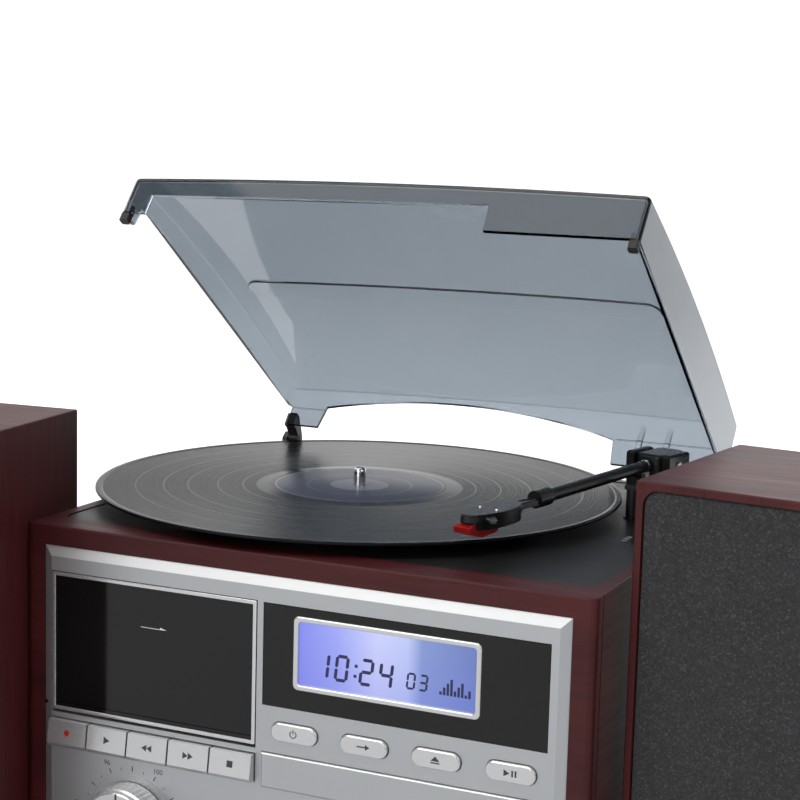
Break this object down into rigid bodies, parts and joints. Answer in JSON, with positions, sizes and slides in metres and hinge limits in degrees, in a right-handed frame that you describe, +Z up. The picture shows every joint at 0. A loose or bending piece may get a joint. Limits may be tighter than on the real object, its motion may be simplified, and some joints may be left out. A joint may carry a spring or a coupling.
{
  "type": "stereo music centre",
  "caption": "Wooden-cased music centre with record deck under a hinged dust cover, cassette door, disc tray, dials and two box loudspeakers.",
  "frame": {"origin": "centre of the whole part seen from above, on the floor it stands on", "axes": "+Z up, -Y out of the front with the display and dials, +X to the right seen from the front"},
  "size_m": [0.6374, 0.3864, 0.3896],
  "materials": {
    "cherry": "high gloss",
    "grille_cloth": "matte",
    "silver_front": "satin",
    "black_gloss": "gloss",
    "black_deck": "semi-gloss",
    "black_matte": "matte",
    "rubber": "matte",
    "chrome": "polished",
    "platter_alloy": "turned",
    "steel": "plain",
    "brass_pulley": "turned",
    "mat_rubber": "matte",
    "vinyl": "gloss",
    "label_paper": "satin",
    "smoked": "clear smoked",
    "display_blue": "lit",
    "red_plastic": "satin",
    "board_green": "matte",
    "ivory_plastic": "matte"
  },
  "bodies": {
    "cabinet": {"case_wrap": "cherry", "front_frame": "cherry", "feet": "rubber", "rear_panel": "black_matte", "case_screws": "steel", "front_bezel": "silver_front", "display_window": "black_gloss", "lcd_frame": "silver_front", "lcd_module": "display_blue", "control_board": "board_green", "main_board": "board_green", "mains_transformer": "steel", "mains_inlet": "black_matte", "rear_sockets": "black_matte", "speaker_clips": "black_matte", "deck_plate": "black_deck", "spindle": "chrome", "turntable_motor": "steel", "drive_belt": "rubber", "arm_base": "black_matte", "arm_rest": "black_matte", "hinge_blocks": "black_matte", "tape_mechanism": "steel", "disc_mechanism": "black_matte"},
    "turntable": {"platter": "platter_alloy", "platter_mat": "mat_rubber", "record": "vinyl", "record_label": "label_paper"},
    "pulley": {"motor_pulley": "brass_pulley"},
    "yoke": {"arm_yoke": "black_matte"},
    "tonearm": {"arm_tube": "black_matte", "headshell": "black_matte", "cartridge": "red_plastic"},
    "cue": {"cue_lever": "black_matte"},
    "speed": {"speed_switch": "black_matte"},
    "cover": {"dust_cover": "smoked", "cover_bumpers": "rubber", "cover_hinge_arms": "black_matte"},
    "door": {"cassette_door": "black_gloss", "cassette_carrier": "black_matte"},
    "supply": {"supply_hub": "ivory_plastic"},
    "take_up": {"take_up_hub": "ivory_plastic"},
    "record_key": {"key_record": "silver_front"},
    "play_key": {"key_play": "silver_front"},
    "rewind_key": {"key_rewind": "silver_front"},
    "forward_key": {"key_forward": "silver_front"},
    "stop_key": {"key_stop": "silver_front"},
    "tray": {"disc_tray": "silver_front"},
    "volume": {"volume_knob": "silver_front"},
    "tuning": {"tuning_knob": "silver_front"},
    "power": {"power_button": "silver_front"},
    "source": {"source_button": "silver_front"},
    "open": {"open_button": "silver_front"},
    "play": {"play_button": "silver_front"},
    "left_speaker": {"left_speaker_box": "cherry", "left_speaker_grille": "grille_cloth", "left_speaker_drivers": "black_matte"},
    "right_speaker": {"right_speaker_box": "cherry", "right_speaker_grille": "grille_cloth", "right_speaker_drivers": "black_matte"}
  },
  "joints": [
    {"name": "platter_spin", "type": "hinge", "parent": "cabinet", "child": "turntable", "pos_m": [-0.04532, 0.04238, 0.209], "axis": [0, 0, 1], "continuous": true},
    {"name": "pulley_spin", "type": "hinge", "parent": "cabinet", "child": "pulley", "pos_m": [-0.10189, 0.09895, 0.202], "axis": [0, 0, 1], "continuous": true},
    {"name": "arm_swing", "type": "hinge", "parent": "cabinet", "child": "yoke", "pos_m": [0.10768, 0.12158, 0.21], "axis": [0, 0, 1], "range_deg": [-30, 15]},
    {"name": "arm_lift", "type": "hinge", "parent": "yoke", "child": "tonearm", "pos_m": [0.10768, 0.12158, 0.229], "axis": [-0.9724, 0.2334, 0], "range_deg": [0, 8]},
    {"name": "cue_turn", "type": "hinge", "parent": "cabinet", "child": "cue", "pos_m": [0.12798, 0.07888, 0.2098], "axis": [-1, 0, 0], "range_deg": [0, 60]},
    {"name": "speed_slide", "type": "slide", "parent": "cabinet", "child": "speed", "axis": [0, -1, 0], "range_m": [-0.004, 0.004]},
    {"name": "cover_hinge", "type": "hinge", "parent": "cabinet", "child": "cover", "pos_m": [-0.00903, 0.16038, 0.213], "axis": [-1, 0, 0], "range_deg": [-38, 5]},
    {"name": "door_hinge", "type": "hinge", "parent": "cabinet", "child": "door", "pos_m": [-0.08958, -0.10812, 0.108], "axis": [1, 0, 0], "range_deg": [0, 28]},
    {"name": "supply_spin", "type": "hinge", "parent": "cabinet", "child": "supply", "pos_m": [-0.11083, -0.08812, 0.146], "axis": [0, -1, 0], "continuous": true},
    {"name": "take_up_spin", "type": "hinge", "parent": "cabinet", "child": "take_up", "pos_m": [-0.06832, -0.08812, 0.146], "axis": [0, -1, 0], "continuous": true},
    {"name": "record_key_press", "type": "slide", "parent": "cabinet", "child": "record_key", "axis": [0, 1, 0], "range_m": [0, 0.004], "stiffness_N_per_m": 300, "springref_m": -0.002},
    {"name": "play_key_press", "type": "slide", "parent": "cabinet", "child": "play_key", "axis": [0, 1, 0], "range_m": [0, 0.004], "stiffness_N_per_m": 300, "springref_m": -0.002},
    {"name": "rewind_key_press", "type": "slide", "parent": "cabinet", "child": "rewind_key", "axis": [0, 1, 0], "range_m": [0, 0.004], "stiffness_N_per_m": 300, "springref_m": -0.002},
    {"name": "forward_key_press", "type": "slide", "parent": "cabinet", "child": "forward_key", "axis": [0, 1, 0], "range_m": [0, 0.004], "stiffness_N_per_m": 300, "springref_m": -0.002},
    {"name": "stop_key_press", "type": "slide", "parent": "cabinet", "child": "stop_key", "axis": [0, 1, 0], "range_m": [0, 0.004], "stiffness_N_per_m": 300, "springref_m": -0.002},
    {"name": "tray_slide", "type": "slide", "parent": "cabinet", "child": "tray", "axis": [0, -1, 0], "range_m": [0, 0.125]},
    {"name": "volume_turn", "type": "hinge", "parent": "cabinet", "child": "volume", "pos_m": [0.08297, -0.11512, 0.05], "axis": [0, -1, 0], "range_deg": [-150, 150]},
    {"name": "tuning_turn", "type": "hinge", "parent": "cabinet", "child": "tuning", "pos_m": [-0.10103, -0.11512, 0.05], "axis": [0, -1, 0], "continuous": true},
    {"name": "power_press", "type": "slide", "parent": "cabinet", "child": "power", "axis": [0, 1, 0], "range_m": [0, 0.0015], "stiffness_N_per_m": 500, "springref_m": -0.001},
    {"name": "source_press", "type": "slide", "parent": "cabinet", "child": "source", "axis": [0, 1, 0], "range_m": [0, 0.0015], "stiffness_N_per_m": 500, "springref_m": -0.001},
    {"name": "open_press", "type": "slide", "parent": "cabinet", "child": "open", "axis": [0, 1, 0], "range_m": [0, 0.0015], "stiffness_N_per_m": 500, "springref_m": -0.001},
    {"name": "play_press", "type": "slide", "parent": "cabinet", "child": "play", "axis": [0, 1, 0], "range_m": [0, 0.0015], "stiffness_N_per_m": 500, "springref_m": -0.001},
    {"name": "left_speaker_slide", "type": "slide", "parent": "cabinet", "child": "left_speaker", "axis": [-0.9962, -0.0872, 0], "range_m": [0, 0.3]},
    {"name": "right_speaker_slide", "type": "slide", "parent": "cabinet", "child": "right_speaker", "axis": [0.9919, -0.1271, 0], "range_m": [0, 0.3]}
  ],
  "couplings": [
    {"joint": "pulley_spin", "follows": "platter_spin", "ratio": 12.4}
  ]
}
